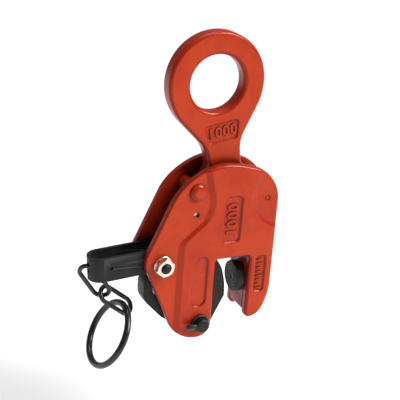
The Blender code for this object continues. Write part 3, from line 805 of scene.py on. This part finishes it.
def makePins():
    s = pinSizes
    profile = [(0, -28.5), (4.6, -28.5), (5.4, -28.35), (6.1, -27.9), (6.6, -27.1), (6.7, -26.4),
               (6.7, 20.2), (9.2, 20.2), (9.5, 20.6), (9.5, 23.2), (9.2, 23.9), (8.4, 24.3), (0, 24.4)]
    pin = newObject("camPin", turnedBody(profile, pivots["cam"]))
    across = (pivots["cam"][0], s["cross"], pivots["cam"][2])
    shapeWith(pin, [rod(s["crossHole"], -25, 3, across, "X")])
    finishPiece(pin, "black", "frame", ["cam_pin"])
    profile = [(0, -14.9), (1.5, -14.8), (2.2, -14.4), (2.5, -13.7), (2.5, 1.6), (2.1, 2.3), (0, 2.5)]
    cross = newObject("camCrossPin", turnedBody(profile, across, "X", 32))
    finishPiece(cross, "wire", "frame", ["cam_cross_pin"], sharp=50)
    profile = [(7.0, -22.0), (7.8, -22.2), (8.3, -21.8), (8.3, -20.5), (8.0, -20.2), (7.0, -20.2)]
    washer = newObject("camPinWasher", turnedBody(profile, pivots["cam"], hollow=True))
    finishPiece(washer, "black", "frame", ["cam_pin_washer"])

    end = [(0, -28.9), (2.2, -28.8), (3.2, -28.4), (3.7, -27.9)]
    for k in range(s["crests"]):
        y = -27.7 + k * s["threadPitch"]
        end += [(4.0, y), (4.0, y + 0.2), (3.65, y + 0.45), (3.65, y + 0.6)]
    profile = end + [(4.0, -24.6), (4.0, 18.5), (7.0, 18.5), (7.4, 18.9), (7.4, 22.6), (6.8, 23.4),
                     (0, 23.7)]
    bolt = newObject("leverBolt", turnedBody(profile, pivots["lever"]))
    finishPiece(bolt, "black", "frame", ["lever_bolt"])
    profile = [(4.3, -19.9), (8.3, -19.9), (8.6, -19.6), (8.6, -18.8), (8.3, -18.5), (4.3, -18.5)]
    washer = newObject("leverWasher", turnedBody(profile, pivots["lever"], hollow=True))
    finishPiece(washer, "zinc", "frame", ["lever_washer"])
    profile = [(4.3, -8.3), (5.8, -8.3), (6.0, -8.1), (6.0, 8.1), (5.8, 8.3), (4.3, 8.3)]
    sleeve = newObject("leverSleeve", turnedBody(profile, pivots["lever"], hollow=True))
    finishPiece(sleeve, "zinc", "frame", ["lever_sleeve"])

    # a hexagon with chamfered corners: the prism meets a turned blank
    radius = s["nutFlats"] / math.sqrt(3)
    angles = [math.radians(60 * k + s["nutTurn"]) for k in range(6)]
    hexagon = [(radius * math.cos(a), radius * math.sin(a), s["nutCorner"]) for a in angles]
    front, back = s["nutFaces"]
    nut = newObject("leverNut", lean(plate(hexagon, front, back), 0, pivots["lever"]))
    blank = [(0, front), (7.3, front), (9.0, -25.3), (9.0, -21.0), (7.9, back), (0, back)]
    shapeWith(nut, [turnedBody(blank, pivots["lever"])], "INTERSECT")
    hole = [(0, -27), (4.9, -27), (4.9, -26.2), (4.3, -25.4), (4.3, -19), (0, -19)]
    shapeWith(nut, [turnedBody(hole, pivots["lever"])])
    softEdges(nut, s["nutEdge"])
    finishPiece(nut, "zinc", "frame", ["lever_nut"])


makePins()
print("pins made")


leverSizes = {
    "lean": -4.4, "outer": 11.6, "strap": 3.0, "left": -62.7, "top": 13.0, "bottom": -8.8,
    "eye": 5.2, "eyeRise": 3.0, "boltHole": 4.3, "sideHole": {"radius": 2.1, "place": (-45.4, 0, 3.6)},
    "edge": 0.7,
}


def makeLever():
    s = leverSizes
    left = s["left"] - 2
    side = [(left, s["top"], 0), (8.8, s["top"], 10), (8.8, -9.8, 9), (-9.0, -9.8, 5),
            (-14.0, s["bottom"], 5), (left, s["bottom"], 0)]
    made = newObject("lockLever", lean(plate(side, -14, 14), s["lean"], pivots["lever"]))
    bend = s["left"] + s["outer"]
    outer, inner = s["outer"], s["outer"] - s["strap"]
    tools = []
    for radius in (outer, inner):     # the plan of the bent bar, outside then inside
        bm = plate([(bend - radius, -radius, radius - 0.01), (24, -radius, 0), (24, radius, 0),
                    (bend - radius, radius, radius - 0.01)], -30, 30)
        turn = Matrix.Rotation(math.pi / 2, 3, "X")
        bmesh.ops.rotate(bm, verts=bm.verts[:], cent=(0, 0, 0), matrix=turn)
        bmesh.ops.recalc_face_normals(bm, faces=bm.faces[:])
        tools.append(lean(bm, s["lean"], pivots["lever"]))
    shapeWith(made, tools[:1], "INTERSECT")
    eye = rod(s["eye"], s["left"] - 5, bend, (0, 0, s["eyeRise"]), "X")
    sideHole = rod(s["sideHole"]["radius"], -20, 0, s["sideHole"]["place"])
    holes = [rod(s["boltHole"], -20, 20, (0, 0, 0)), sideHole, eye]
    shapeWith(made, tools[1:] + [lean(bm, s["lean"], pivots["lever"]) for bm in holes])
    softEdges(made, s["edge"], 3)
    finishPiece(made, "black", "lever", ["lock_lever"])


makeLever()
print("lever made")


springSizes = {
    "wire": 0.8, "coil": 3.6, "hook": 3.2, "turns": 12, "high": 36.4, "low": -10.6,
    "neck": 2.2,           # straight length between the coil and each hook
    "hookTurn": 240, "hookSteps": 16, "coilSteps": 20,
}


def tube(name, points, radius, closed, sides):
    # round wire along points
    curve = bpy.data.curves.new(name, "CURVE")
    curve.dimensions = "3D"
    curve.bevel_depth = radius * mm
    curve.bevel_resolution = sides
    curve.use_fill_caps = not closed
    spline = curve.splines.new("POLY")
    spline.points.add(len(points) - 1)
    for target, point in zip(spline.points, points):
        target.co = (*(Vector(point) * mm), 1.0)
    spline.use_cyclic_u = closed
    holder = addObject(f"{name}.curve", curve)
    mesh = finalMesh(holder)
    bpy.data.objects.remove(holder)
    bm = bmesh.new()
    bm.from_mesh(mesh)
    bmesh.ops.remove_doubles(bm, verts=bm.verts[:], dist=1e-7)
    bmesh.ops.recalc_face_normals(bm, faces=bm.faces[:])
    bm.to_mesh(mesh)
    bm.free()
    return addObject(name, mesh)


def hookPoints(x, z, first):
    # a hook around a pin, from the angle first on
    s = springSizes
    steps = range(s["hookSteps"] + 1)
    angles = [math.radians(first + s["hookTurn"] * k / s["hookSteps"]) for k in steps]
    return [(x + s["hook"] * math.cos(a), 0, z + s["hook"] * math.sin(a)) for a in angles]


def makeSpring():
    s = springSizes
    x, top, bottom = pivots["springTop"][0], pivots["springTop"][2], pivots["springLow"][2]
    points = hookPoints(x, top, -60) + [(x - s["hook"], 0, s["high"] + s["neck"])]
    count = s["turns"] * s["coilSteps"]
    for k in range(count + 1):
        a = math.pi + 2 * math.pi * k / s["coilSteps"]
        z = s["high"] + (s["low"] - s["high"]) * k / count
        points.append((x + s["coil"] * math.cos(a), s["coil"] * math.sin(a), z))
    points += [(x - s["hook"], 0, s["low"] - s["neck"])] + hookPoints(x, bottom, 180)
    made = tube("lockSpring", points, s["wire"], False, 2)
    made.data.materials.append(finishes["steel"])
    made.data.shade_smooth()
    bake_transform(made)
    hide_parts("lock_spring")


makeSpring()


chainSizes = {
    "wire": 2.1, "halfWidth": 7.4, "halfLength": 18.4,
    "one": {"middle": (-123.5, 2.6, -15.8), "lean": 56.0, "turn": 34.0},
    "two": {"middle": (-102.8, 2.2, -37.5), "lean": 38.1, "turn": -42.0},
}
ringSizes = {"wire": 3.0, "radius": 29.3, "top": (-96.3, -2.0, -42.0), "lean": 28.0}


def makeLink(name, node, body, spot):
    s = chainSizes
    slant = math.radians(spot["lean"])
    axis = Vector((math.cos(slant), 0, -math.sin(slant)))
    across = Vector((0, 1, 0)).cross(axis)
    across.rotate(Matrix.Rotation(math.radians(spot["turn"]), 3, axis))
    straight = s["halfLength"] - s["halfWidth"]
    points = []
    for end, first in ((1, -90), (-1, 90)):
        for k in range(25):
            a = math.radians(first + 7.5 * k)
            along = axis * (end * straight + s["halfWidth"] * math.cos(a))
            points.append(Vector(spot["middle"]) + along + across * s["halfWidth"] * math.sin(a))
    finishPiece(tube(name, points, s["wire"], True, 5), "wire", body, [node], sharp=0)


def makeRing():
    s = ringSizes
    slant = math.radians(s["lean"])
    down = Vector((-math.sin(slant), 0, -math.cos(slant)))
    points = []
    for k in range(120):
        a = math.radians(3 * k)
        points.append(Vector(s["top"]) + down * s["radius"] * (1 - math.cos(a))
                      + Vector((0, s["radius"] * math.sin(a), 0)))
    finishPiece(tube("pullRing", points, s["wire"], True, 6), "wire", "ring", ["pull_ring"], sharp=0)


makeLink("chainLinkOne", "chain_link_1", "chain_1", chainSizes["one"])
makeLink("chainLinkTwo", "chain_link_2", "chain_2", chainSizes["two"])
makeRing()
print("chain made")


keptNodes = {
    "link_plate_front": "steel", "link_plate_back": "steel", "eye_link_pin": "steel",
    "cam_link_pin": "steel", "spring_anchor_pin": "steel", "cam_spring_pin": "steel",
    "pad_washer": "zinc", "pad_screw": "steel",
}
for node, finish in keptNodes.items():
    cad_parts[node].data.materials.clear()
    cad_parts[node].data.materials.append(finishes[finish])

studio = {
    "floorDrop": 90.0, "floorColour": (0.95, 0.95, 0.95), "mottle": 0.02, "floorSize": 6,
    "world": 0.22, "aim": (-20, 0, 40),
    "sun": {"from": (0.62, -0.42, 0.66), "power": 4.0, "softness": 38},
    "key": {"place": (900, -900, 1000), "size": 450, "power": 1.5},
    "top": {"place": (100, 250, 1300), "size": 500, "power": 6},
}


def makeFloor():
    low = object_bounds()[0][2] - studio["floorDrop"] * mm
    bm = bmesh.new()
    bmesh.ops.create_grid(bm, x_segments=1, y_segments=1, size=studio["floorSize"])
    bmesh.ops.translate(bm, verts=bm.verts[:], vec=(0, 0, low))
    mesh = bpy.data.meshes.new("floor")
    bm.to_mesh(mesh)
    bm.free()
    floor = addObject("floor", mesh)
    material, nodes, links = newMaterial("paleFloor")
    place = nodes.new("ShaderNodeTexCoord")
    place.label = "position on the floor"
    mottle = nodes.new("ShaderNodeTexNoise")
    mottle.label = "faint mottling"
    mottleRamp = nodes.new("ShaderNodeValToRGB")
    mottleRamp.label = "two near whites"
    shader = nodes.new("ShaderNodeBsdfPrincipled")
    shader.label = "matt floor"
    output = nodes.new("ShaderNodeOutputMaterial")
    output.label = "to the surface"
    floorBox = nodes.new("NodeFrame")
    floorBox.label = "pale floor"
    layOut([(floorBox, [place, mottle, mottleRamp, shader, output])])
    mottle.inputs["Scale"].default_value = 6
    mottleRamp.color_ramp.elements[0].color = (*studio["floorColour"], 1)
    lighter = [c + studio["mottle"] for c in studio["floorColour"]]
    mottleRamp.color_ramp.elements[1].color = (*lighter, 1)
    shader.inputs["Roughness"].default_value = 0.8
    links.new(place.outputs["Object"], mottle.inputs["Vector"])
    links.new(mottle.outputs["Fac"], mottleRamp.inputs["Fac"])
    links.new(mottleRamp.outputs["Color"], shader.inputs["Base Color"])
    links.new(shader.outputs["BSDF"], output.inputs["Surface"])
    mesh.materials.append(material)


def makeLamp(name, spot):
    data = bpy.data.lights.new(name, "AREA")
    data.shape = "SQUARE"
    data.size = spot["size"] * mm
    data.energy = spot["power"]
    lamp = addObject(name, data)
    lamp.location = Vector(spot["place"]) * mm
    towards = Vector(studio["aim"]) * mm - lamp.location
    lamp.rotation_euler = towards.to_track_quat("-Z", "Y").to_euler()


def makeStudio():
    makeFloor()
    for name in ("key", "top"):
        makeLamp(f"{name}Lamp", studio[name])
    data = bpy.data.lights.new("daylight", "SUN")
    data.energy = studio["sun"]["power"]
    data.angle = math.radians(studio["sun"]["softness"])
    sun = addObject("daylight", data)
    sun.rotation_euler = Vector(studio["sun"]["from"]).to_track_quat("Z", "Y").to_euler()
    world = bpy.data.worlds.new("studioWorld")
    world.use_nodes = True
    world.node_tree.nodes["Background"].inputs["Color"].default_value = (1, 1, 1, 1)
    world.node_tree.nodes["Background"].inputs["Strength"].default_value = studio["world"]
    bpy.context.scene.world = world
    bpy.context.scene.view_settings.view_transform = "Standard"


makeStudio()
print("studio made")
